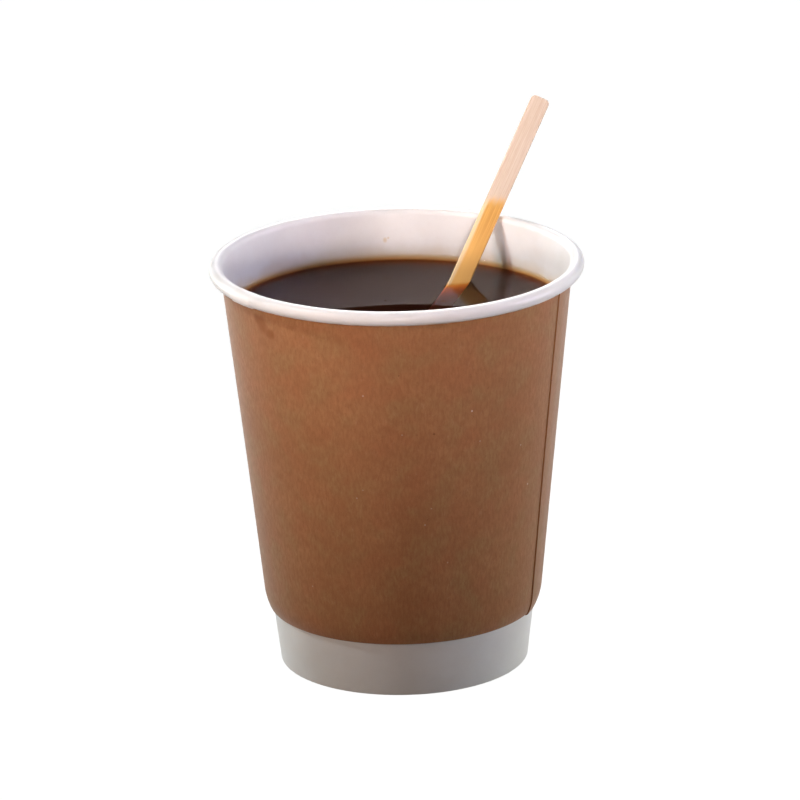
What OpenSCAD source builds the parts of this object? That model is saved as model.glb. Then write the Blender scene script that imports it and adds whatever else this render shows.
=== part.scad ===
// Double-wall paper cup of coffee with a wooden stirrer. The cup's axis is Z and it stands on z = 0.
// The front of the cup faces -Y.

/* [Cup] */
// Height of the cup, from the table to the top of the rolled rim
cup_h = 100; // [90:1:120]
// Outside diameter of the rolled rim, which takes a lid
rim_d = 89.5; // [84:0.5:96]
// Outside diameter of the foot
foot_d = 60; // [54:0.5:66]
// Thickness of the white inner paperboard
wall_t = 0.35; // [0.25:0.05:0.5]
// Gap left between plies that are sealed together
seal_gap = 0.05; // [0.02:0.01:0.1]

/* [Rolled rim] */
// Outside diameter of the roll's own section
roll_d = 3.4; // [3:0.1:4]
// How far round the paper is rolled, measured from the side wall
roll_turn = 310; // [240:5:315]

/* [Foot] */
// Height of the bottom disc's top face above the table
disc_z = 8.4; // [7:0.1:12]
// Thickness of the bottom disc's paperboard
disc_t = 0.3; // [0.2:0.05:0.45]
// Bend radius where the disc turns down into its skirt
disc_bend_r = 0.9; // [0.6:0.1:1.5]
// Height of the hem that is folded up inside the foot
hem_h = 6; // [4:0.1:6.5]
// Space below the skirt's lower edge, inside the fold of the hem
skirt_clear = 0.4; // [0.2:0.1:1]
// Radius on the two corners of the fold that stands on the table
fold_r = 0.3; // [0.2:0.05:0.35]

/* [Kraft sleeve] */
// Thickness of the kraft outer sheet
sleeve_t = 0.35; // [0.25:0.05:0.45]
// Height of the sleeve's lower edge above the table
sleeve_z = 13.7; // [11:0.1:18]
// Air gap between the sleeve and the inner wall, at the level of that lower edge
air_gap = 1.2; // [1.15:0.05:1.6]
// Gap between the sleeve's top edge and the underside of the roll
tuck_gap = 0.15; // [0.1:0.05:0.3]
// Radius of the long bend above the sleeve's lower edge
bend_r = 14; // [12:0.5:15]
// Angle of that bend
bend_a = 18; // [14:1:19]
// Radius of the turned-in lower edge
edge_r = 0.7; // [0.6:0.05:0.8]

/* [Side seams] */
// Width of the inner wall's lap
wall_lap_w = 6.8; // [5:0.1:9]
// Height of the lap's step, where the two plies are pressed together
wall_lap_t = 0.22; // [0.15:0.01:0.3]
// Direction of the inner wall's cut edge, seen from above
wall_seam_a = -141; // [-160:1:-125]
// Width of the sleeve's lap
sleeve_lap_w = 8; // [6:0.1:12]
// Height of the step at the sleeve's cut edge
sleeve_lap_t = 0.3; // [0.2:0.01:0.35]
// Direction of the sleeve's cut edge at its top, seen from above
sleeve_seam_a = -24; // [-40:1:0]

/* [Coffee] */
// Level of the coffee below the top of the rim
coffee_down = 12.4; // [10:0.1:40]
// Radius of the curve in which the coffee climbs the wall
meniscus_r = 3; // [1:0.1:4]
// Angle through which that curve turns before it meets the wall
meniscus_a = 60; // [20:1:65]
// Gap left between the coffee and the paper round it
coffee_gap = 0.04; // [0.02:0.01:0.1]

/* [Stirrer] */
// Length of the stick
stick_l = 130; // [120:1:150]
// Width of the stick
stick_w = 4.8; // [4:0.1:7]
// Thickness of the stick
stick_t = 1.3; // [1:0.1:1.8]
// Radius on the four corners of the stick
stick_corner_r = 1.3; // [0.5:0.1:1.7]
// How far the stick is turned about its own length, from lying flat on the roll to standing on its edge
stick_turn_a = 35; // [0:1:90]
// Direction in which the stick leans over the rim, seen from above
stick_rim_a = 55.2; // [35:0.1:75]
// Direction of the stick's lower end, seen from above
stick_foot_a = 247; // [235:0.1:260]
// Height at which the lower end meets the inner wall
stick_foot_z = 41.4; // [30:0.1:60]
// Gap where the stick rests on the roll and against the wall
rest_gap = 0.08; // [0.06:0.01:0.2]

/* [Hidden] */
$fn = 128;
arc_steps = 8;
roll_steps = 30;

// The roll's section is a circle of radius roll_r about this centre, as [distance from the axis, height]
roll_r = roll_d/2;
roll_c = [rim_d/2 - roll_r, cup_h - roll_r];

// The wall's inner face is a straight line from the foot that touches the roll's circle
wall_foot_r = foot_d/2 - wall_t;
wall_lean = atan2(roll_c.x - wall_foot_r, roll_c.y)
          - asin(roll_r/norm([roll_c.x - wall_foot_r, roll_c.y]));
roll_end_a = 180 - wall_lean - roll_turn;

// Distance from the axis, at height z, of a ply lying `inward` from the wall's inner face
function ply_r(z, inward = 0) = wall_foot_r + tan(wall_lean)*z - inward/cos(wall_lean);
// Points of an arc about centre c, from angle a to angle b
function arc(c, r, a, b, steps = arc_steps) =
    [for (i = [0:steps]) let (t = a + (b - a)*i/steps) c + r*[cos(t), sin(t)]];

// Plies of the foot, from the wall's inner face inward: gap, skirt of the disc, gap, hem
hem_in = 2*seal_gap + disc_t;

// The sleeve's outer face is a straight line between these two radii
sleeve_top_r = ply_r(cup_h - roll_d, -wall_t) + seal_gap + sleeve_t;
sleeve_top_z = roll_c.y - tuck_gap
             - sqrt(pow(roll_r, 2) - pow(roll_c.x - sleeve_top_r - sleeve_lap_t, 2));
sleeve_low_r = ply_r(sleeve_z, -wall_t) + air_gap + sleeve_t;
sleeve_lean = atan2(sleeve_top_r - sleeve_low_r, sleeve_top_z - sleeve_z);
function sleeve_r(z) = sleeve_low_r + tan(sleeve_lean)*(z - sleeve_z);
// Centres of the long bend and of the turned-in edge
edge_a = sleeve_lean + bend_a;
edge_z = sleeve_z + edge_r;
bend_z = edge_z + (bend_r - edge_r)*sin(edge_a);
bend_top_z = bend_z - bend_r*sin(sleeve_lean);
bend_c = [sleeve_r(bend_top_z) - bend_r*cos(sleeve_lean), bend_z];
edge_c = bend_c + (bend_r - edge_r)*[cos(edge_a), -sin(edge_a)];
edge_end_a = -95;

// Angles that the two laps take up round the cup
wall_lap_a = wall_lap_w/roll_c.x*180/PI;
sleeve_lap_a = sleeve_lap_w/sleeve_top_r*180/PI;

coffee_z = cup_h - coffee_down;

// The stick's line: from its lower end on the wall, over the roll
function unit(v) = v/norm(v);
stick_rim = [roll_c.x*cos(stick_rim_a), roll_c.x*sin(stick_rim_a), roll_c.y];
stick_lift = roll_r + rest_gap + stick_w/2*sin(stick_turn_a) + stick_t/2*cos(stick_turn_a);
stick_out = [cos(stick_foot_a), sin(stick_foot_a), 0];
// Axes [across, along, out of the broad face] of a stick whose lower end is at `foot`
function stick_axes(foot) =
    let (to_rim = stick_rim - foot,
         line = unit(to_rim),
         tangent = [sin(stick_rim_a), -cos(stick_rim_a), 0],
         side = unit(tangent - (tangent*line)*line),
         rise = cross(side, line),
         tip = asin(stick_lift/norm(to_rim)),
         off = cos(tip)*rise - sin(tip)*line)
    [cos(stick_turn_a)*side - sin(stick_turn_a)*off,
     cos(tip)*line + sin(tip)*rise,
     cos(stick_turn_a)*off + sin(stick_turn_a)*side];
wall_point = ply_r(stick_foot_z)*stick_out + [0, 0, stick_foot_z];
touch_axes = stick_axes(wall_point);
// How far the corners of the lower end reach towards the leaning, curved wall beyond its middle
to_wall = stick_out - [0, 0, tan(wall_lean)];
foot_reach = abs(touch_axes[0]*to_wall)*stick_w/2 + abs(touch_axes[2]*to_wall)*stick_t/2
           + pow(stick_w, 2)/8/ply_r(stick_foot_z);
stick_foot = wall_point - (foot_reach + rest_gap)*stick_out;
axes = stick_axes(stick_foot);

// Section of the white sheet: up the inner face, over the roll, back down the outer face, round the hem
module wall_section() {
    polygon(concat(
        [[ply_r(wall_t), wall_t]],
        arc(roll_c, roll_r, 180 - wall_lean, roll_end_a, roll_steps),
        arc(roll_c, roll_r - wall_t, roll_end_a, 180 - wall_lean, roll_steps),
        arc([ply_r(fold_r, -wall_t) - fold_r, fold_r], fold_r, 0, -90),
        arc([ply_r(fold_r, hem_in + wall_t) + fold_r, fold_r], fold_r, -90, -180),
        [[ply_r(hem_h, hem_in + wall_t), hem_h],
         [ply_r(hem_h, hem_in), hem_h],
         [ply_r(wall_t, hem_in), wall_t]]));
}

// Section of the second ply at the side seam: it lies on the inner face and goes over the roll
module wall_lap_section(grow) {
    lap_z = disc_z + 2*seal_gap - grow;
    half = wall_t/2;
    polygon(concat(
        [[ply_r(lap_z, -half), lap_z], [ply_r(lap_z, wall_lap_t + grow), lap_z]],
        arc(roll_c, roll_r + wall_lap_t + grow, 180 - wall_lean, -90, roll_steps),
        arc(roll_c, roll_r - half, -90, 180 - wall_lean, roll_steps)));
}

// The second ply, made larger by `grow` on its free faces
module wall_lap(grow = 0) {
    grow_a = grow/wall_foot_r*180/PI;
    rotate_extrude(angle = wall_lap_a + 2*grow_a, start = wall_seam_a - wall_lap_a - grow_a)
        wall_lap_section(grow);
}

// White side wall: cone, rolled rim, lapped seam and hem, all folded from one sheet
module inner_wall() {
    color("white") {
        rotate_extrude()
            wall_section();
        wall_lap();
    }
}

// Centre of the bend at the disc's edge
disc_bend_z = disc_z - disc_bend_r;
disc_bend_c = [ply_r(disc_bend_z, seal_gap) - disc_bend_r, disc_bend_z];

// Bottom disc, with its edge turned down into a skirt between the wall and the hem
module base_disc() {
    skirt_z = wall_t + skirt_clear;
    inner = seal_gap + disc_t;
    color("ghostwhite")
        rotate_extrude()
            polygon(concat(
                [[0, disc_z]],
                arc(disc_bend_c, disc_bend_r, 90, 0),
                [[ply_r(skirt_z, seal_gap), skirt_z], [ply_r(skirt_z, inner), skirt_z]],
                arc(disc_bend_c, disc_bend_r - disc_t, 0, 90),
                [[0, disc_z - disc_t]]));
}

// Section of the sleeve, moved outward by `out`, with thickness t: the long bend, then the turned-in edge
module sleeve_section(out, t) {
    polygon(concat(
        [[sleeve_r(sleeve_top_z) + out, sleeve_top_z]],
        arc(bend_c, bend_r + out, -sleeve_lean, -edge_a),
        arc(edge_c, edge_r + out, -edge_a, edge_end_a),
        arc(edge_c, edge_r + out - t, edge_end_a, -edge_a),
        arc(bend_c, bend_r + out - t, -edge_a, -sleeve_lean),
        [[sleeve_r(sleeve_top_z) + out - t/cos(sleeve_lean), sleeve_top_z]]));
}

// Outer ply of the sleeve's lap: it swings out of the sheet, off the cup's axis, up to its cut edge.
// The swing moves that edge round the cup too, so the lap is turned back by as much.
module sleeve_lap() {
    swing = sleeve_lap_t/sin(sleeve_lap_a);
    edge_start_a = sleeve_seam_a + swing*cos(sleeve_lap_a)/sleeve_top_r*180/PI;
    leave_a = edge_start_a + sleeve_lap_a;
    difference() {
        translate(swing*[sin(leave_a), -cos(leave_a), 0])
            rotate_extrude(angle = sleeve_lap_a, start = edge_start_a)
                sleeve_section(0, sleeve_lap_t + sleeve_t/2);
        rotate_extrude()
            sleeve_section(-sleeve_t/2, sleeve_t);
    }
}

// Kraft sleeve: one sheet, lapped at its seam, open at the top under the roll and turned in at the bottom
module outer_sleeve() {
    color("peru") {
        rotate_extrude()
            sleeve_section(0, sleeve_t);
        sleeve_lap();
    }
}

// Coffee: it fills the cup from the disc up, climbs the wall a little, and leaves room for lap and stick.
// It ends part of the way down the disc's bend, where the space between disc and wall closes.
module coffee() {
    meniscus_w = meniscus_r*sin(meniscus_a);
    meniscus_top = coffee_z + meniscus_r*(1 - cos(meniscus_a));
    meniscus_c = [ply_r(meniscus_top, coffee_gap) - meniscus_w, coffee_z + meniscus_r];
    low_a = 25;
    low = arc(disc_bend_c, disc_bend_r + coffee_gap, 90, low_a);
    low_z = low[arc_steps].y;
    color("saddlebrown")
        difference() {
            rotate_extrude()
                polygon(concat(
                    [[0, disc_z + coffee_gap]],
                    low,
                    [[ply_r(low_z, coffee_gap), low_z]],
                    arc(meniscus_c, meniscus_r, meniscus_a - 90, -90),
                    [[0, coffee_z]]));
            wall_lap(coffee_gap);
            stick();
        }
}

// Outline of the stick, lying along Y from its lower end at the origin
module stick_outline() {
    low = stick_corner_r;
    high = stick_l - stick_corner_r;
    side = stick_w/2 - stick_corner_r;
    polygon(concat(
        arc([side, low], stick_corner_r, -90, 0),
        arc([side, high], stick_corner_r, 0, 90),
        arc([-side, high], stick_corner_r, 90, 180),
        arc([-side, low], stick_corner_r, 180, 270)));
}

// The stick in its place, leaning on the roll with its lower end against the wall
module stick() {
    multmatrix([
        [axes[0].x, axes[1].x, axes[2].x, stick_foot.x],
        [axes[0].y, axes[1].y, axes[2].y, stick_foot.y],
        [axes[0].z, axes[1].z, axes[2].z, stick_foot.z],
        [0, 0, 0, 1]])
        translate([0, 0, -stick_t/2])
            linear_extrude(stick_t)
                stick_outline();
}

module stirrer() {
    color("burlywood")
        stick();
}

inner_wall();
base_disc();
outer_sleeve();
coffee();
stirrer();
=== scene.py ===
"""The looks of the paper cup of coffee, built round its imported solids.

Lengths are in metres and angles in degrees, unless a comment says otherwise. The cup's axis is Z, it stands
on z = 0 and its front faces -Y. Each piece of paper is one closed mesh, and its points carry the attribute
"sheet": where they lie on the flat sheet, in millimetres.
"""

import math

import bpy
import numpy as np
from mathutils import Matrix, Vector


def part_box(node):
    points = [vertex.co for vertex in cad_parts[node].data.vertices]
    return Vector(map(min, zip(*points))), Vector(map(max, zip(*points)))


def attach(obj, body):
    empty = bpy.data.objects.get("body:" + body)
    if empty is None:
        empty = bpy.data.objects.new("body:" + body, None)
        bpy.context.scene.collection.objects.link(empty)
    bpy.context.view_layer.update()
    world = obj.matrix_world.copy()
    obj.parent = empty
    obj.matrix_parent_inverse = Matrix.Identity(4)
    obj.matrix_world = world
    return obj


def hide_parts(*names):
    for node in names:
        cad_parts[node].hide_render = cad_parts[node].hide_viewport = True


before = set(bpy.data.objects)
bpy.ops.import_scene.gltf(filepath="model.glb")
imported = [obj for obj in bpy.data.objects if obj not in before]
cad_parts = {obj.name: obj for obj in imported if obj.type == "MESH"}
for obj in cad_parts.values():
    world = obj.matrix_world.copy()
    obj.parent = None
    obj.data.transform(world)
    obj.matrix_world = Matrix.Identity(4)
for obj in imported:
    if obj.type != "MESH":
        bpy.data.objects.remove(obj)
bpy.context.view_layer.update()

MM = 0.001

# The camera, as fitted to the outlines of the rim, the sleeve and the foot.
CAMERA_AT = Vector((0.0, -1314.80, 495.22)) * MM
CAMERA_PITCH = math.radians(18.1436)
CAMERA_YAW = math.radians(0.0074)
CAMERA_ROLL = math.radians(-1.2513)
FOCAL_PX = 5760.27
IMAGE_PX = 800
SENSOR_MM = 36

# Sizes of the cup that the nodes' boxes don't give.
WALL_T = 0.35 * MM
SEAL_GAP = 0.05 * MM
ROLL_R = 1.7 * MM
ROLL_TURN = 310
FOOT_R = 30 * MM
FOLD_R = 0.3 * MM
DISC_T = 0.3 * MM
DISC_BEND_R = 0.9 * MM
SKIRT_CLEAR = 0.4 * MM
HEM_H = 6 * MM
SLEEVE_T = 0.35 * MM
AIR_GAP = 1.2 * MM
TUCK_GAP = 0.15 * MM
BEND_R = 14 * MM
BEND_A = 18
EDGE_R = 0.7 * MM
EDGE_END_A = -95
WALL_SEAM_A = -141
WALL_LAP_A = 9.05
WALL_LAP_T = 0.22 * MM
SLEEVE_SEAM_A = -24
SLEEVE_LAP_A = 10.9
SLEEVE_LAP_T = 0.3 * MM
COFFEE_DOWN = 12.4 * MM
MENISCUS_R = 3 * MM
MENISCUS_A = 60
STICK_CORNER_R = 1.3 * MM
STICK_EASE = 0.3 * MM

# The angle over which the cut edge of the wall's lap slopes off.
LAP_SLOPE_A = 1.2

# How uneven the paper is, as waves round the cup: times round, height in millimetres, phase.
RIM_WAVES = ((2, 0.07, 0.4), (3, 0.05, 2.0), (5, 0.03, 1.1), (11, 0.012, 0.3))
CRINKLE_WAVES = ((61, 0.010, 0.2), (97, 0.008, 1.7), (149, 0.006, 0.9))
SLEEVE_WAVES = ((2, 0.08, -1.57), (3, 0.06, 0.2), (7, 0.03, 2.1))

# The radius at which lengths round the cup are measured on a sheet.
SHEET_R = 0.038

# A section that ends at the axis stops this far from it, so that no two points of it fall together.
AXIS_R = 1e-6

# How far the coffee's mesh reaches into the paper round it.
SOAK = 0.12 * MM

# How far the coffee climbs the stick, and how far from the stick that is felt.
STICK_RISE = 0.35 * MM
STICK_REACH = 0.6 * MM

# Bubbles on the coffee, at pixels of the photograph: x, y, radius in millimetres. They are flatter than a
# half ball.
BUBBLES = ((443, 301, 0.55), (385, 300, 0.3), (452, 297, 0.3))
BUBBLE_FLATNESS = 0.55

# In the stick's own axes, in millimetres: how far up from its lower end it is soaked, how that changes
# across it, and where the strip along its left edge ends, which stays dry and carries a painted highlight.
WET_TO = 98.6
WET_SLOPE = -0.5
DRY_HIGHLIT_STRIP_X = -1.55

# The share of the kraft's cells that hold a speck, for each of two sizes of cell.
SPECK_SHARE = 0.05
# Marks on the kraft, at pixels of the photograph: x, y, radius in millimetres, strength.
PALE_SPECKS = (
    (528, 484, 0.35, 0.8),
    (472, 411, 0.35, 0.75),
    (363, 396, 0.3, 0.5),
    (521, 445, 0.3, 0.5),
    (357, 498, 0.3, 0.5),
    (363, 490, 0.3, 0.4),
    (425, 525, 0.28, 0.45),
    (480, 441, 0.3, 0.3),
    (402, 435, 0.3, 0.3),
)
DARK_SPECKS = ((434, 434, 0.45, 0.7), (417, 435, 0.4, 0.3), (488, 388, 0.35, 0.3), (396, 470, 0.4, 0.3))
# The grease mark under the rim: x, y, radius in millimetres, squeeze along X, Y and Z.
SMUDGE = ((262, 325, 2.6, (1, 1, 0.8)), (270, 334, 2.2, (0.8, 1, 1.2)), (257, 319, 1.8, (1, 1, 1)))
SMUDGE_STRENGTH = 0.8
# The coffee stain on the wall's inner face, at a pixel of the photograph.
STAIN_PX = (385, 240)

CUP_H = 0.1
RIM_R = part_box("inner_wall")[1].x
DISC_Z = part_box("base_disc")[1].z
SLEEVE_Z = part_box("outer_sleeve")[0].z
COFFEE_Z = CUP_H - COFFEE_DOWN

ROLL_AT = (RIM_R - ROLL_R, CUP_H - ROLL_R)
WALL_FOOT_R = FOOT_R - WALL_T
WALL_LEAN = math.atan2(ROLL_AT[0] - WALL_FOOT_R, ROLL_AT[1]) - math.asin(
    ROLL_R / math.hypot(ROLL_AT[0] - WALL_FOOT_R, ROLL_AT[1])
)


def ply_r(z, inward=0.0):
    """Distance from the axis, at height z, of a ply that lies `inward` from the wall's inner face."""
    return WALL_FOOT_R + math.tan(WALL_LEAN) * z - inward / math.cos(WALL_LEAN)


def arc(centre, radius, start, end, steps):
    """Points of an arc in a section, as (distance from the axis, height)."""
    turns = np.radians(np.linspace(start, end, steps + 1))
    return [(centre[0] + radius * math.cos(t), centre[1] + radius * math.sin(t)) for t in turns]


def line(start, end, steps):
    """Points of a straight line in a section, without its first."""
    start, end = np.array(start), np.array(end)
    return [tuple(start + (end - start) * i / steps) for i in range(1, steps + 1)]


def wave(angles, *terms):
    """A smooth closed curve over an angle: the sum of waves given as (times round, height, phase)."""
    return sum(height * np.sin(np.radians(angles) * times + phase) for times, height, phase in terms)


# Meshes


def add_mesh(name, points, faces, sheet=None, sharp=35):
    """A new object with smooth faces and edges kept sharp over the angle `sharp`."""
    mesh = bpy.data.meshes.new(name)
    mesh.from_pydata([tuple(p) for p in points], [], faces)
    if sheet is not None:
        layer = mesh.attributes.new("sheet", "FLOAT_VECTOR", "POINT")
        layer.data.foreach_set("vector", np.asarray(sheet, np.float32).ravel())
    mesh.validate()
    mesh.shade_smooth()
    mesh.set_sharp_from_angle(angle=math.radians(sharp))
    piece = bpy.data.objects.new(name, mesh)
    bpy.context.scene.collection.objects.link(piece)
    return piece


def ring_faces(count, size):
    """Faces of `count` rings of `size` points each, where the last ring joins the first."""
    faces = []
    for a in range(count):
        b = (a + 1) % count
        for i in range(size):
            j = (i + 1) % size
            faces.append((a * size + i, b * size + i, b * size + j, a * size + j))
    return faces


def section_run(section):
    """How far along the sheet each point of a section lies, in millimetres."""
    steps = np.hypot(*np.diff(np.array(section), axis=0).T)
    return np.concatenate([[0], np.cumsum(steps)]) / MM


def revolve(name, section_at, angles):
    """A closed body round the axis. section_at(angle) gives its section as an array of (r, z)."""
    rings, sheets = [], []
    for angle in angles:
        section = np.asarray(section_at(angle))
        c, s = math.cos(math.radians(angle)), math.sin(math.radians(angle))
        rings.append(np.stack([section[:, 0] * c, section[:, 0] * s, section[:, 1]], -1))
        along = np.full(len(section), math.radians(angle - angles[0]) * SHEET_R / MM)
        sheets.append(np.stack([along, section_run(section), np.zeros(len(section))], -1))
    faces = ring_faces(len(rings), len(rings[0]))
    return add_mesh(name, np.concatenate(rings), faces, np.concatenate(sheets))


def seam_angles(cut, lap, steps):
    """Angles once round from a cut edge, closer together over the lap that starts there."""
    fine = list(np.linspace(cut, cut + lap, 40, endpoint=False))
    return fine + list(np.linspace(cut + lap, cut + 359.97, steps))


# Inner wall: one white sheet with its lapped seam, rolled rim and folded hem

HEM_IN = 2 * SEAL_GAP + DISC_T


def wall_section(angle):
    """Section of the white sheet, with the second ply of the lap where the angle lies in it.

    Round the roll, the lap's step is pressed flat on top and ends underneath, where small crinkles stand out.
    """
    uneven = float(wave(angle, *RIM_WAVES)) * MM
    crinkle = float(wave(angle, *CRINKLE_WAVES)) * MM
    into_lap = (WALL_SEAM_A - angle) % 360
    lap = WALL_LAP_T * min(1.0, max(0.0, (WALL_LAP_A + LAP_SLOPE_A - into_lap) / LAP_SLOPE_A))
    end_a = 180 - math.degrees(WALL_LEAN) - ROLL_TURN
    start_a = 180 - math.degrees(WALL_LEAN)
    centre = (ROLL_AT[0] + uneven * 0.6, ROLL_AT[1] + uneven)
    outer = []
    for x, z in arc(centre, ROLL_R, start_a, end_a, 44):
        a = math.degrees(math.atan2(z - centre[1], x - centre[0]))
        below = max(0.0, math.cos(math.radians(a + 60))) ** 2
        pressed = 0.25 + 0.75 * max(abs(a - 90) / 90 - 0.4, 0.0) / 0.6
        lifted = lap * min(1.0, pressed) * min(1.0, max(0.0, (a + 92) / 4))
        grow = 1 + (lifted + crinkle * below) / ROLL_R
        outer.append((centre[0] + (x - centre[0]) * grow, centre[1] + (z - centre[1]) * grow))
    inner = arc(centre, ROLL_R - WALL_T, end_a, start_a, 24)
    lap_low_z = DISC_Z + 2 * SEAL_GAP
    lap_full_z = lap_low_z + 0.05 * MM
    face = [(ply_r(WALL_T), WALL_T), (ply_r(lap_low_z), lap_low_z), (ply_r(lap_full_z, lap), lap_full_z)]
    face += line(face[-1], outer[0], 30)[:-1]
    back = line(inner[-1], (ply_r(FOLD_R, -WALL_T), FOLD_R), 24)[:-1]
    hem = arc((ply_r(FOLD_R, -WALL_T) - FOLD_R, FOLD_R), FOLD_R, 0, -90, 6)
    hem += arc((ply_r(FOLD_R, HEM_IN + WALL_T) + FOLD_R, FOLD_R), FOLD_R, -90, -180, 6)
    hem += [(ply_r(HEM_H, HEM_IN + WALL_T), HEM_H), (ply_r(HEM_H, HEM_IN), HEM_H)]
    hem += [(ply_r(WALL_T, HEM_IN), WALL_T)]
    return face + outer + inner + back + hem


wall_angles = np.unique(np.concatenate([
    np.linspace(WALL_SEAM_A, WALL_SEAM_A + 359.5, 719),
    WALL_SEAM_A - np.array([0.06, 0.3, 0.6, 1.0]) + 360,
    WALL_SEAM_A - np.linspace(WALL_LAP_A - 0.4, WALL_LAP_A + 1.4, 10) + 360,
]))
inner_wall = revolve("inner_wall_paper", wall_section, [*wall_angles, WALL_SEAM_A + 359.99])


# Bottom disc, with its skirt turned down

DISC_BEND_Z = DISC_Z - DISC_BEND_R
DISC_BEND_AT = (ply_r(DISC_BEND_Z, SEAL_GAP) - DISC_BEND_R, DISC_BEND_Z)


def disc_section(_angle):
    """Section of the disc, which is the same at every angle."""
    skirt_z = WALL_T + SKIRT_CLEAR
    inner = SEAL_GAP + DISC_T
    down = arc(DISC_BEND_AT, DISC_BEND_R, 90, 0, 8)
    top = line((AXIS_R, DISC_Z), down[0], 14)
    skirt = line(down[-1], (ply_r(skirt_z, SEAL_GAP), skirt_z), 6) + [(ply_r(skirt_z, inner), skirt_z)]
    up = arc(DISC_BEND_AT, DISC_BEND_R - DISC_T, 0, 90, 8)
    under = line(up[-1], (AXIS_R, DISC_Z - DISC_T), 14)
    return [(AXIS_R, DISC_Z)] + top + down[1:] + skirt + up + under


base_disc = revolve("bottom_disc_paper", disc_section, np.linspace(0, 360, 361)[:-1])


# Kraft sleeve: one sheet, lapped at its seam, with a long bend and a turned-in lower edge

SLEEVE_TOP_R = ply_r(CUP_H - 2 * ROLL_R, -WALL_T) + SEAL_GAP + SLEEVE_T
SLEEVE_TOP_Z = ROLL_AT[1] - TUCK_GAP - math.sqrt(
    ROLL_R**2 - (ROLL_AT[0] - SLEEVE_TOP_R - SLEEVE_LAP_T) ** 2
)
SLEEVE_LOW_R = ply_r(SLEEVE_Z, -WALL_T) + AIR_GAP + SLEEVE_T
SLEEVE_LEAN = math.degrees(math.atan2(SLEEVE_TOP_R - SLEEVE_LOW_R, SLEEVE_TOP_Z - SLEEVE_Z))


def sleeve_r(z):
    """Distance from the axis of the straight part of the sleeve's outer face."""
    return SLEEVE_LOW_R + math.tan(math.radians(SLEEVE_LEAN)) * (z - SLEEVE_Z)


EDGE_A = SLEEVE_LEAN + BEND_A
EDGE_AT_Z = SLEEVE_Z + EDGE_R
BEND_AT_Z = EDGE_AT_Z + (BEND_R - EDGE_R) * math.sin(math.radians(EDGE_A))
BEND_TOP_Z = BEND_AT_Z - BEND_R * math.sin(math.radians(SLEEVE_LEAN))
BEND_AT = (sleeve_r(BEND_TOP_Z) - BEND_R * math.cos(math.radians(SLEEVE_LEAN)), BEND_AT_Z)
EDGE_AT = (
    BEND_AT[0] + (BEND_R - EDGE_R) * math.cos(math.radians(EDGE_A)),
    BEND_AT[1] - (BEND_R - EDGE_R) * math.sin(math.radians(EDGE_A)),
)


def sleeve_section(angle):
    """Section of the kraft sheet. Its outer face stands proud by the lap's step at the cut edge."""
    past_cut = (angle - SLEEVE_SEAM_A) % 360
    out = SLEEVE_LAP_T * max(0.0, 1 - past_cut / SLEEVE_LAP_A)
    uneven = float(wave(angle, *SLEEVE_WAVES)) * MM
    top = (sleeve_r(SLEEVE_TOP_Z) + out, SLEEVE_TOP_Z)
    bend = arc(BEND_AT, BEND_R + out, -SLEEVE_LEAN, -EDGE_A, 18)
    outer = [top] + line(top, bend[0], 60)[:-1] + bend
    outer += arc(EDGE_AT, EDGE_R + out, -EDGE_A, EDGE_END_A, 16)[1:]
    inner = arc(EDGE_AT, EDGE_R - SLEEVE_T, EDGE_END_A, -EDGE_A, 8)
    inner += arc(BEND_AT, BEND_R - SLEEVE_T, -EDGE_A, -SLEEVE_LEAN, 10)[1:]
    inner_top_r = sleeve_r(SLEEVE_TOP_Z) - SLEEVE_T / math.cos(math.radians(SLEEVE_LEAN))
    inner += line(inner[-1], (inner_top_r, SLEEVE_TOP_Z), 30)
    height = SLEEVE_TOP_Z - SLEEVE_Z
    return [(r + uneven * math.sin(math.pi * (z - SLEEVE_Z) / height), z) for r, z in outer + inner]


outer_sleeve = revolve("outer_sleeve_kraft", sleeve_section, seam_angles(SLEEVE_SEAM_A, SLEEVE_LAP_A, 640))


# Stirrer: its place is read from the node's own points

stick_points = np.array([v.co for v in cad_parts["stirrer"].data.vertices])
stick_middle = (stick_points.max(0) + stick_points.min(0)) / 2
_, _, stick_axes = np.linalg.svd(stick_points - stick_points.mean(0), full_matrices=False)
along, across, up = stick_axes
along = along if along[2] > 0 else -along
up = up if up[2] > 0 else -up
across = np.cross(along, up)
own_axes = np.array([across, along, up])
local = (stick_points - stick_middle) @ own_axes.T
STICK_W, STICK_L, STICK_T = np.ptp(local, axis=0)
stick_foot = stick_middle + ((local.max(0) + local.min(0)) / 2) @ own_axes - along * STICK_L / 2


def stick_half_width(y):
    """Half the stick's width at y from its lower end, drawn in at the rounded corners."""
    past = max(STICK_CORNER_R - y, STICK_CORNER_R - (STICK_L - y), 0.0)
    return STICK_W / 2 - STICK_CORNER_R + math.sqrt(max(STICK_CORNER_R**2 - past**2, 0.0))


def stick_ring(y, half_w, half_t, ease):
    """A rounded rectangle across the stick at y."""
    ring = []
    for cx, cz, start in ((1, -1, -90), (1, 1, 0), (-1, 1, 90), (-1, -1, 180)):
        for a in np.radians(np.linspace(start, start + 90, 5)):
            x, z = cx * (half_w - ease) + ease * math.cos(a), cz * (half_t - ease) + ease * math.sin(a)
            ring.append((x, y, z))
    return ring


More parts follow.
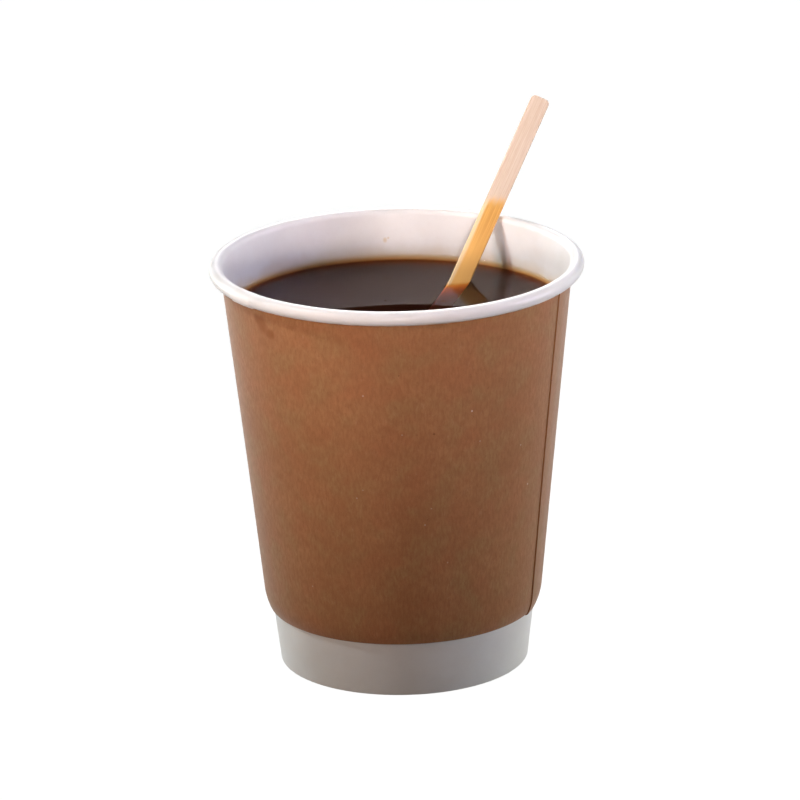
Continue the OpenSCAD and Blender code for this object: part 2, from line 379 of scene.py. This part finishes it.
def make_stick():
    """The stick, with its edges eased. Its attribute "sheet" holds the place in the stick's own axes."""
    ends = np.array([0.0, 0.03, 0.08, 0.16, 0.3, 0.5, 0.75, 1.1]) * MM
    middle = np.linspace(ends[-1], STICK_L - ends[-1], 120)
    rings = []
    for y in np.unique(np.concatenate([ends, middle, STICK_L - ends])):
        end = min(y, STICK_L - y)
        pulled = STICK_EASE - math.sqrt(max(STICK_EASE**2 - max(STICK_EASE - end, 0.0) ** 2, 0.0))
        rings.append(stick_ring(y, stick_half_width(y) - pulled, STICK_T / 2 - pulled, STICK_EASE * 0.98))
    size = len(rings[0])
    faces = [tuple(reversed(f)) for f in ring_faces(len(rings), size)[:-size]]
    faces.append(tuple(range(size)))
    faces.append(tuple(reversed(range((len(rings) - 1) * size, len(rings) * size))))
    own = np.concatenate(rings)
    return add_mesh("stirrer_wood", stick_foot + own @ own_axes, faces, own / MM, sharp=50)


stirrer = make_stick()


# What a pixel of the photograph shows


def camera_axes():
    """Right, up and forward of the camera."""
    c, s = math.cos(CAMERA_PITCH), math.sin(CAMERA_PITCH)
    side, ahead = math.sin(CAMERA_YAW), math.cos(CAMERA_YAW)
    forward, right = Vector((side * c, ahead * c, -s)), Vector((ahead, -side, 0))
    above = right.cross(forward)
    cr, sr = math.cos(CAMERA_ROLL), math.sin(CAMERA_ROLL)
    return cr * right + sr * above, cr * above - sr * right, forward


def pixel_ray(x, y):
    """Direction from the camera through a pixel of the photograph."""
    right, above, forward = camera_axes()
    half = IMAGE_PX / 2
    return (forward * FOCAL_PX + right * (x - half) + above * (half - y)).normalized()


def on_level(x, y, z):
    """The point at height z that a pixel shows."""
    ray = pixel_ray(x, y)
    return CAMERA_AT + ray * ((z - CAMERA_AT.z) / ray.z)


def on_cone(x, y, radius_at, far=False):
    """The point on a body round the axis that a pixel shows, on its near or far side."""
    ray = pixel_ray(x, y)
    distances = np.linspace(1.2, 1.5, 6001)
    points = np.array(CAMERA_AT) + distances[:, None] * np.array(ray)
    inside = np.hypot(points[:, 0], points[:, 1]) - np.array([radius_at(z) for z in points[:, 2]])
    hits = np.nonzero(np.diff(np.sign(inside)))[0]
    return Vector(points[hits[-1 if far else 0]])


# Coffee

MENISCUS_RISE = MENISCUS_R * (1 - math.cos(math.radians(MENISCUS_A)))
MENISCUS_W = MENISCUS_R * math.sin(math.radians(MENISCUS_A))


def stick_distance(points):
    """How far points of the coffee's surface lie from the stick, in its own width and thickness."""
    flat = np.column_stack([points, np.full(len(points), COFFEE_Z)]) - stick_foot
    x, y, z = flat @ across, flat @ along, flat @ up
    half_w = np.array([stick_half_width(v) for v in np.clip(y, 0, STICK_L)])
    return np.hypot(np.maximum(np.abs(x) - half_w, 0), np.maximum(np.abs(z) - STICK_T / 2, 0))


def make_coffee():
    """The liquid. Its sides and bottom reach a little into the paper, so that no air lies between them."""
    wall_r = ply_r(COFFEE_Z + MENISCUS_RISE)
    edge_r = wall_r + SOAK
    inside = np.linspace(0, 0.9, 90, endpoint=False)
    near_wall = 1 - 0.1 * np.linspace(1, 0, 45) ** 1.6
    fractions = np.concatenate([inside, near_wall])[1:]
    count = 360
    turns = np.radians(np.linspace(0, 360, count, endpoint=False))
    bubbles = [(on_level(x, y, COFFEE_Z), size) for x, y, size in BUBBLES]
    points = [(0.0, 0.0, COFFEE_Z)]
    for f in fractions:
        r = edge_r * f
        flat = np.column_stack([r * np.cos(turns), r * np.sin(turns)])
        climb = np.clip(r - (wall_r - MENISCUS_W), 0, MENISCUS_W)
        z = COFFEE_Z + MENISCUS_R - np.sqrt(MENISCUS_R**2 - climb**2)
        z = z + STICK_RISE * np.exp(-stick_distance(flat) / STICK_REACH)
        for at, size in bubbles:
            d = np.hypot(flat[:, 0] - at.x, flat[:, 1] - at.y) / MM / size
            z = z + np.sqrt(np.maximum(1 - d**2, 0)) * size * BUBBLE_FLATNESS * MM
        points += list(zip(flat[:, 0], flat[:, 1], z))
    above_bend = (ply_r(DISC_Z + DISC_BEND_R) + SOAK, DISC_Z + DISC_BEND_R)
    inside_bend = (ply_r(DISC_Z) - DISC_BEND_R, DISC_Z - SOAK)
    for r, z in (above_bend, inside_bend):
        points += [(r * math.cos(t), r * math.sin(t), z) for t in turns]
    points.append((0.0, 0.0, DISC_Z - SOAK))
    rings = len(fractions) + 2
    faces = [(0, 1 + i, 1 + (i + 1) % count) for i in range(count)]
    for a in range(rings - 1):
        upper, lower = 1 + a * count, 1 + (a + 1) * count
        for i in range(count):
            j = (i + 1) % count
            faces.append((upper + i, lower + i, lower + j, upper + j))
    last = 1 + (rings - 1) * count
    faces += [(last + i, last + count, last + (i + 1) % count) for i in range(count)]
    return add_mesh("coffee_liquid", points, faces, sharp=60)


coffee = make_coffee()


# Materials


def node(tree, kind, inputs=None, **settings):
    """A new node. A socket given as an input is linked, anything else is its value."""
    made = tree.nodes.new(kind)
    for key, value in settings.items():
        setattr(made, key, value)
    for key, value in (inputs or {}).items():
        if isinstance(value, bpy.types.NodeSocket):
            tree.links.new(value, made.inputs[key])
        else:
            made.inputs[key].default_value = value
    return made


def maths(tree, operation, *values):
    """The result of a sum with one or two values."""
    return node(tree, "ShaderNodeMath", dict(enumerate(values)), operation=operation).outputs[0]


def blend(tree, factor, a, b):
    """Colour a where the factor is 0, colour b where it is 1, and a mix between."""
    return node(tree, "ShaderNodeMix", {0: factor, 6: a, 7: b}, data_type="RGBA").outputs[2]


def spread(tree, value, low, high, out_low=0.0, out_high=1.0):
    """A value brought from one range to another, held at its ends."""
    inputs = {0: value, 1: low, 2: high, 3: out_low, 4: out_high}
    return node(tree, "ShaderNodeMapRange", inputs, interpolation_type="SMOOTHSTEP").outputs[0]


def noise(tree, vector, scale, detail=2.0, rough=0.5, stretch=(1, 1, 1), turn=0.0, distort=0.0):
    """A noise over the given coordinates, stretched and turned."""
    at = node(tree, "ShaderNodeMapping", {0: vector, 2: (0, 0, math.radians(turn)), 3: stretch}).outputs[0]
    inputs = {"Vector": at, "Scale": scale, "Detail": detail, "Roughness": rough, "Distortion": distort}
    return node(tree, "ShaderNodeTexNoise", inputs).outputs[0]


def spot(tree, vector, at, radius, soft=0.5, squeeze=(1, 1, 1)):
    """1 inside a round mark at a point, fading to 0 at its edge."""
    off = node(tree, "ShaderNodeVectorMath", {0: vector, 1: at}, operation="SUBTRACT").outputs[0]
    off = node(tree, "ShaderNodeVectorMath", {0: off, 1: squeeze}, operation="MULTIPLY").outputs[0]
    length = node(tree, "ShaderNodeVectorMath", {0: off}, operation="LENGTH").outputs[1]
    return spread(tree, length, radius * (1 - soft), radius, 1.0, 0.0)


def material(name):
    """A new material with its tree and its shader."""
    made = bpy.data.materials.new(name)
    made.use_nodes = True
    tree = made.node_tree
    return made, tree, tree.nodes["Principled BSDF"]


def position(tree):
    """The point's own place, in millimetres."""
    at = node(tree, "ShaderNodeTexCoord").outputs["Object"]
    return node(tree, "ShaderNodeVectorMath", {0: at, "Scale": 1 / MM}, operation="SCALE").outputs[0]


def sheet_place(tree):
    """The point's place on the flat sheet, or in the stick's own axes, in millimetres."""
    return node(tree, "ShaderNodeAttribute", attribute_name="sheet").outputs["Vector"]


def fibres(tree, vector, scale, turn, width):
    """Thin pale lines: the ridge of a stretched, wandering noise."""
    n = noise(tree, vector, scale, detail=1.5, stretch=(1, 0.16, 1), turn=turn, distort=0.6)
    ridge = maths(tree, "ABSOLUTE", maths(tree, "SUBTRACT", n, 0.5))
    return spread(tree, ridge, 0.0, width, 1.0, 0.0)


def kraft_material():
    """Brown paper: clouds of three hues, mottle, grain, fibres, specks and the photograph's few marks."""
    made, tree, shader = material("kraft")
    sheet, place = sheet_place(tree), position(tree)
    cloud = noise(tree, sheet, 0.07, detail=2, rough=0.5)
    olive = noise(tree, sheet, 0.13, detail=2, rough=0.5, turn=40)
    rusty = noise(tree, sheet, 0.10, detail=2, rough=0.5, turn=-25)
    grain = noise(tree, sheet, 1.0, detail=3, rough=0.65, stretch=(1.5, 0.5, 1))
    mottle = noise(tree, sheet, 0.45, detail=2, rough=0.6, stretch=(1.2, 0.7, 1))
    fine = noise(tree, place, 4.5, detail=2, rough=0.6)
    colour = blend(tree, spread(tree, cloud, 0.3, 0.7), (0.33, 0.146, 0.0626, 1), (0.38, 0.175, 0.0775, 1))
    layers = (
        (olive, 0.42, 0.68, 0.8, (0.33, 0.179, 0.0775, 1)),
        (rusty, 0.45, 0.70, 0.7, (0.369, 0.145, 0.0639, 1)),
        (mottle, 0.35, 0.7, 0.35, (0.259, 0.114, 0.049, 1)),
        (grain, 0.36, 0.66, 0.55, (0.248, 0.108, 0.0462, 1)),
        (fine, 0.4, 0.75, 0.16, (0.429, 0.228, 0.122, 1)),
    )
    for pattern, low, high, share, tint in layers:
        colour = blend(tree, spread(tree, pattern, low, high, 0.0, share), colour, tint)
    light_fibres = maths(
        tree, "MAXIMUM", fibres(tree, sheet, 0.8, 20, 0.012), fibres(tree, sheet, 0.9, -48, 0.011)
    )
    dark_fibres = maths(
        tree, "MAXIMUM", fibres(tree, sheet, 0.7, 75, 0.010), fibres(tree, sheet, 0.8, -12, 0.009)
    )
    patch = maths(tree, "MULTIPLY", spread(tree, noise(tree, sheet, 0.5, detail=2), 0.45, 0.7), 0.30)
    colour = blend(tree, maths(tree, "MULTIPLY", light_fibres, patch), colour, (0.462, 0.257, 0.146, 1))
    colour = blend(tree, maths(tree, "MULTIPLY", dark_fibres, 0.20), colour, (0.169, 0.0684, 0.0301, 1))
    for scale, tint in ((0.28, (0.539, 0.37, 0.257, 1)), (0.33, (0.123, 0.0523, 0.0257, 1))):
        cells = node(tree, "ShaderNodeTexVoronoi", {"Vector": place, "Scale": scale}, feature="F1")
        draw = node(tree, "ShaderNodeSeparateColor", {0: cells.outputs["Color"]}).outputs[0]
        dot = spread(tree, cells.outputs["Distance"], 0.03, 0.08, 0.7, 0.0)
        chosen = spread(tree, draw, 1 - SPECK_SHARE, 1.02 - SPECK_SHARE)
        speck = maths(tree, "MULTIPLY", chosen, dot)
        colour = blend(tree, speck, colour, tint)
    for px, py, radius, strength in PALE_SPECKS:
        mark = spot(tree, place, tuple(on_cone(px, py, sleeve_r) / MM), radius, 0.7)
        colour = blend(tree, maths(tree, "MULTIPLY", mark, strength), colour, (0.654, 0.53, 0.428, 1))
    for px, py, radius, strength in DARK_SPECKS:
        mark = spot(tree, place, tuple(on_cone(px, py, sleeve_r) / MM), radius, 0.7, (1, 1, 1.5))
        colour = blend(tree, maths(tree, "MULTIPLY", mark, strength), colour, (0.116, 0.0402, 0.0171, 1))
    for px, py, radius, squeeze in SMUDGE:
        mark = spot(tree, place, tuple(on_cone(px, py, sleeve_r) / MM), radius, 0.75, squeeze)
        mark = maths(tree, "MULTIPLY", mark, SMUDGE_STRENGTH)
        colour = blend(tree, mark, colour, (0.231, 0.0844, 0.0301, 1))
    tree.links.new(colour, shader.inputs["Base Color"])
    rough = spread(tree, grain, 0.3, 0.7, 0.46, 0.58)
    tree.links.new(rough, shader.inputs["Roughness"])
    height = maths(tree, "ADD", maths(tree, "MULTIPLY", grain, 0.6), maths(tree, "MULTIPLY", fine, 0.3))
    height = maths(tree, "ADD", height, maths(tree, "MULTIPLY", light_fibres, 0.15))
    bump = node(tree, "ShaderNodeBump", {"Strength": 0.2, "Distance": 0.00005, "Height": height})
    tree.links.new(bump.outputs[0], shader.inputs["Normal"])
    shader.inputs["Specular IOR Level"].default_value = 0.12
    shader.inputs["Sheen Weight"].default_value = 0.28
    shader.inputs["Sheen Roughness"].default_value = 0.35
    shader.inputs["Sheen Tint"].default_value = (0.9, 1.0, 1.0, 1)
    return made


def coated_material():
    """White coated paper. Inside, a warm band is painted above the coffee's level, painted light for the
    coffee's warm glow, and the wall below the level is painted dark, painted shade under the coffee.
    """
    made, tree, shader = material("coated_paper")
    place = position(tree)
    cloud = noise(tree, place, 0.12, detail=3, rough=0.5)
    grain = noise(tree, place, 2.2, detail=3, rough=0.6)
    colour = blend(tree, spread(tree, cloud, 0.3, 0.7), (0.84, 0.80, 0.785, 1), (0.88, 0.85, 0.84, 1))
    grainy = maths(tree, "MULTIPLY", spread(tree, grain, 0.4, 0.8), 0.18)
    colour = blend(tree, grainy, colour, (0.78, 0.74, 0.71, 1))
    z = node(tree, "ShaderNodeSeparateXYZ", {0: place}).outputs[2]
    # A warm band painted on the wall from the coffee's level up, with a wavy top: painted light that stands
    # in for the coffee's warm glow.
    glow_band_height = maths(tree, "ADD", z, maths(tree, "MULTIPLY", maths(tree, "SUBTRACT", cloud, 0.5), 4.0))
    level = COFFEE_Z / MM
    above_floor = spread(tree, z, DISC_Z / MM, level - 3)
    painted_coffee_glow = spread(tree, glow_band_height, level + 1.0, level + 4.5, 0.8, 0.0)
    colour = blend(tree, maths(tree, "MULTIPLY", painted_coffee_glow, above_floor), colour, (0.78, 0.66, 0.55, 1))
    # Below the coffee's level the wall is painted dark brown: painted shade for the wall under the coffee.
    under = maths(tree, "MULTIPLY", above_floor, spread(tree, z, level - 0.6, level + 0.3, 1.0, 0.0))
    colour = blend(tree, under, colour, (0.26, 0.17, 0.12, 1))
    stain_at = on_cone(*STAIN_PX, ply_r, far=True) / MM
    stain = spot(tree, place, tuple(stain_at), 0.75, 0.8, (1, 1, 0.8))
    stain_side = spot(tree, place, tuple(stain_at + Vector((0.8, 0, 0.5))), 0.45, 0.8)
    stains = maths(tree, "MULTIPLY", maths(tree, "MAXIMUM", stain, stain_side), 0.7)
    colour = blend(tree, stains, colour, (0.72, 0.56, 0.36, 1))
    tree.links.new(colour, shader.inputs["Base Color"])
    tree.links.new(spread(tree, cloud, 0.3, 0.7, 0.34, 0.44), shader.inputs["Roughness"])
    shader.inputs["Subsurface Weight"].default_value = 0.6
    shader.inputs["Subsurface Radius"].default_value = (1.0, 0.9, 0.8)
    shader.inputs["Subsurface Scale"].default_value = 0.002
    ripple = noise(tree, place, 0.5, detail=2)
    height = maths(tree, "ADD", maths(tree, "MULTIPLY", grain, 0.25), ripple)
    bump = node(tree, "ShaderNodeBump", {"Strength": 0.12, "Distance": 0.0001, "Height": height})
    tree.links.new(bump.outputs[0], shader.inputs["Normal"])
    return made


def coffee_material():
    """Clear brown liquid with a trace of cloudiness. Lamps shine through its surface without being bent."""
    made, tree, shader = material("black_coffee")
    shader.inputs["Base Color"].default_value = (1, 1, 1, 1)
    shader.inputs["Transmission Weight"].default_value = 1.0
    shader.inputs["IOR"].default_value = 1.135
    shader.inputs["Roughness"].default_value = 0.0
    shader.inputs["Specular Tint"].default_value = (0.95, 0.46, 0.38, 1)
    ways = node(tree, "ShaderNodeLightPath")
    passed = maths(tree, "MAXIMUM", ways.outputs["Is Shadow Ray"], ways.outputs["Is Diffuse Ray"])
    clear = node(tree, "ShaderNodeBsdfTransparent", {0: (0.93, 0.93, 0.93, 1)}).outputs[0]
    out = tree.nodes["Material Output"]
    cloudy = node(tree, "ShaderNodeBsdfDiffuse", {0: (0.95, 0.26, 0.12, 1)}).outputs[0]
    liquid = node(tree, "ShaderNodeMixShader", {0: 0.016, 1: shader.outputs[0], 2: cloudy}).outputs[0]
    both = node(tree, "ShaderNodeMixShader", {0: passed, 1: liquid, 2: clear})
    tree.links.new(both.outputs[0], out.inputs["Surface"])
    body = node(tree, "ShaderNodeVolumeAbsorption")
    body.inputs["Color"].default_value = (0.905, 0.767, 0.5, 1)
    body.inputs["Density"].default_value = 1800
    tree.links.new(body.outputs[0], out.inputs["Volume"])
    return made


def wood_material():
    """Bare wood with grain and pores, soaked in its lower part but for a strip along its left edge, drawn
    pale as part drier wood and part painted highlight. The soaked wood is painted brighter towards the coffee
    and under it, painted light.
    """
    made, tree, shader = material("birch_wood")
    place = sheet_place(tree)
    x, y, _ = node(tree, "ShaderNodeSeparateXYZ", {0: place}).outputs
    streaks = noise(tree, place, 1.0, detail=3, rough=0.6, stretch=(3.2, 0.05, 3.2), distort=0.4)
    pores = noise(tree, place, 1.0, detail=2, rough=0.5, stretch=(9, 0.35, 9))
    dry_and_edge_highlight = blend(tree, spread(tree, streaks, 0.3, 0.7), (0.717, 0.595, 0.482, 1), (0.628, 0.467, 0.338, 1))
    dry_and_edge_highlight = blend(tree, spread(tree, pores, 0.58, 0.75, 0, 0.35), dry_and_edge_highlight, (0.448, 0.308, 0.193, 1))
    wet_with_painted_light = blend(tree, spread(tree, streaks, 0.3, 0.7), (0.705, 0.378, 0.0958, 1), (0.582, 0.284, 0.0605, 1))
    # The soaked wood is painted brighter and more orange towards its lower end: painted light near the
    # coffee.
    wet_with_painted_light = blend(tree, spread(tree, y, 78, 95, 0.8, 0.0), wet_with_painted_light, (0.90, 0.50, 0.15, 1))
    wander = maths(tree, "SUBTRACT", streaks, 0.5)
    edge = maths(tree, "ADD", y, maths(tree, "MULTIPLY", x, WET_SLOPE))
    edge = maths(tree, "ADD", edge, maths(tree, "MULTIPLY", wander, 5.0))
    below = spread(tree, edge, WET_TO - 2.5, WET_TO + 1.5, 1.0, 0.0)
    strip = spread(tree, maths(tree, "ADD", x, wander), DRY_HIGHLIT_STRIP_X - 0.25, DRY_HIGHLIT_STRIP_X + 0.3)
    soaked = maths(tree, "MULTIPLY", below, strip)
    # In the soaked part the strip along the left edge is painted pale cream: part drier wood, part painted
    # highlight of the lit edge.
    dry_and_edge_highlight = blend(tree, below, dry_and_edge_highlight, (0.86, 0.62, 0.35, 1))
    colour = blend(tree, soaked, dry_and_edge_highlight, wet_with_painted_light)
    z = node(tree, "ShaderNodeSeparateXYZ", {0: position(tree)}).outputs[2]
    # Under the coffee's level the wood is painted bright red-orange: painted light for its glow through the
    # coffee.
    painted_glow_under_coffee = spread(tree, z, COFFEE_Z / MM - 0.6, COFFEE_Z / MM + 0.3, 1.0, 0.0)
    colour = blend(tree, painted_glow_under_coffee, colour, (1.0, 0.52, 0.20, 1))
    tree.links.new(colour, shader.inputs["Base Color"])
    tree.links.new(spread(tree, soaked, 0, 1, 0.62, 0.34), shader.inputs["Roughness"])
    height = maths(tree, "ADD", streaks, maths(tree, "MULTIPLY", pores, 0.5))
    bump = node(tree, "ShaderNodeBump", {"Strength": 0.3, "Distance": 0.0001, "Height": height})
    tree.links.new(bump.outputs[0], shader.inputs["Normal"])
    return made


coated = coated_material()
PIECES = (
    (inner_wall, "inner_wall", "coated_paper", coated),
    (base_disc, "base_disc", "disc_paper", coated),
    (outer_sleeve, "outer_sleeve", "kraft_paper", kraft_material()),
    (coffee, "coffee", "coffee", coffee_material()),
    (stirrer, "stirrer", "birch_wood", wood_material()),
)
for piece, cad_node, slot, look in PIECES:
    piece.data.materials.append(look)
    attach(piece, "root")
    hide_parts(cad_node)


# Camera, floor and light

# How white the floor is where it is seen, besides what the lamps add, and how much light the world gives.
FLOOR_GLOW = 0.97
WORLD_LEVEL = 0.0

# The point that the soft boxes face, and how far the beams are from what they light.
AIM = Vector((0, 0, 0.06))
BEAM_FROM = 1.2

right, above, forward = camera_axes()
camera = bpy.data.objects.new("camera", bpy.data.cameras.new("camera"))
camera.data.sensor_width = SENSOR_MM
camera.data.lens = FOCAL_PX / IMAGE_PX * SENSOR_MM
camera.data.clip_end = 20
camera.matrix_world = Matrix.Translation(CAMERA_AT) @ Matrix((right, above, -forward)).transposed().to_4x4()
bpy.context.scene.collection.objects.link(camera)
bpy.context.scene.camera = camera


def seen_directly(tree):
    """1 for rays from the camera, and for mirrored rays and rays through glass or liquid."""
    ways = node(tree, "ShaderNodeLightPath").outputs
    bounced = maths(tree, "MAXIMUM", ways["Is Glossy Ray"], ways["Is Transmission Ray"])
    return maths(tree, "MAXIMUM", ways["Is Camera Ray"], bounced)


def make_floor():
    """The white floor. It throws little light back on the cup, and keeps the cup's shadow."""
    half = 5.0
    corners = [(-half, -half, 0), (half, -half, 0), (half, half, 0), (-half, half, 0)]
    floor = add_mesh("floor", corners, [(0, 1, 2, 3)])
    made, tree, shader = material("floor")
    shader.inputs["Roughness"].default_value = 0.9
    shader.inputs["Specular IOR Level"].default_value = 0.0
    seen = seen_directly(tree)
    colour = blend(tree, seen, (0.10, 0.075, 0.06, 1), (0.12, 0.12, 0.12, 1))
    tree.links.new(colour, shader.inputs["Base Color"])
    shader.inputs["Emission Color"].default_value = (1, 1, 1, 1)
    tree.links.new(maths(tree, "MULTIPLY", seen, FLOOR_GLOW), shader.inputs["Emission Strength"])
    floor.data.materials.append(made)


def make_flag():
    """A black board behind the cup. It shows in reflections only, and keeps the coffee's surface dark."""
    y, half, low_z, high_z = 0.8, 0.9, 0.17, 1.6
    corners = [(-half, y, low_z), (half, y, low_z), (half, y, high_z), (-half, y, high_z)]
    flag = add_mesh("flag", corners, [(0, 1, 2, 3)])
    made, _, shader = material("flag")
    shader.inputs["Base Color"].default_value = (0.004, 0.004, 0.004, 1)
    shader.inputs["Specular IOR Level"].default_value = 0.0
    flag.data.materials.append(made)
    flag.visible_camera = flag.visible_diffuse = flag.visible_transmission = flag.visible_shadow = False


make_floor()
make_flag()

world = bpy.data.worlds.new("studio")
bpy.context.scene.world = world
world.use_nodes = True
sky = world.node_tree.nodes["Background"]
strength = spread(world.node_tree, seen_directly(world.node_tree), 0, 1, WORLD_LEVEL, 1.0)
world.node_tree.links.new(strength, sky.inputs["Strength"])
sky.inputs["Color"].default_value = (1, 1, 1, 1)


def hang(name, kind, target, direction, distance, power, colour):
    """A lamp that faces a target from a direction. The camera doesn't see it."""
    data = bpy.data.lights.new(name, kind)
    data.energy = power
    data.color = colour
    made = bpy.data.objects.new(name, data)
    way = Vector(direction).normalized()
    made.location = target + way * distance
    made.rotation_euler = (-way).to_track_quat("-Z", "Y").to_euler()
    made.visible_camera = False
    bpy.context.scene.collection.objects.link(made)
    return data


def soft_box(name, direction, distance, width, height, power, colour):
    """A wide, flat lamp that faces the cup's middle."""
    data = hang(name, "AREA", AIM, direction, distance, power, colour)
    data.shape = "RECTANGLE"
    data.size, data.size_y = width, height


def beam(name, direction, aim_z, reach, radius, power, colour):
    """A lamp aimed above the rim. Its cone fades down the cup and ends `reach` away from its middle."""
    data = hang(name, "SPOT", Vector((0, 0, aim_z)), direction, BEAM_FROM, power, colour)
    data.shadow_soft_size = radius
    data.spot_size = 2 * math.atan(reach / BEAM_FROM)
    data.spot_blend = 1.0


# Name, direction, distance, width, height, power in watts, colour.
SOFT_BOXES = (
    ("left_back", (-0.8, 0.6, 0.1), 1.2, 0.5, 1.0, 10.0, (0.80, 0.98, 1.0)),
    ("left_front", (-0.9, -0.45, 0.1), 1.2, 0.3, 0.9, 3.7, (1.0, 0.78, 0.52)),
    ("right", (1.0, 0.0, 0.05), 1.2, 0.5, 1.0, 11.0, (0.97, 1.0, 0.92)),
    ("right_back", (0.8, 0.6, 0.1), 1.2, 0.5, 1.0, 4.0, (0.92, 1.0, 0.76)),
)
# Name, direction, height of the point aimed at, reach, size of the lamp, power in watts, colour.
BEAMS = (
    ("key", (-0.679, -0.144, 0.719), 0.160, 0.145, 0.085, 49.0, (0.88, 0.98, 1.0)),
    ("high", (0.0, -1.0, 0.1), 0.16, 0.12, 0.1, 74, (1.0, 0.87, 0.85)),
    ("front_left", (-0.75, -0.66, 0.4), 0.16, 0.165, 0.1, 31.0, (1.0, 0.68, 0.58)),
    ("high_right", (1.0, 0.0, 0.3), 0.16, 0.165, 0.1, 23.8, (0.67, 0.51, 1.0)),
    ("high_back", (0.0, 0.8, 0.6), 0.16, 0.15, 0.15, 76.6, (1.0, 0.96, 0.96)),
)
for each in SOFT_BOXES:
    soft_box(*each)
for each in BEAMS:
    beam(*each)

view = bpy.context.scene.view_settings
view.view_transform = "Standard"
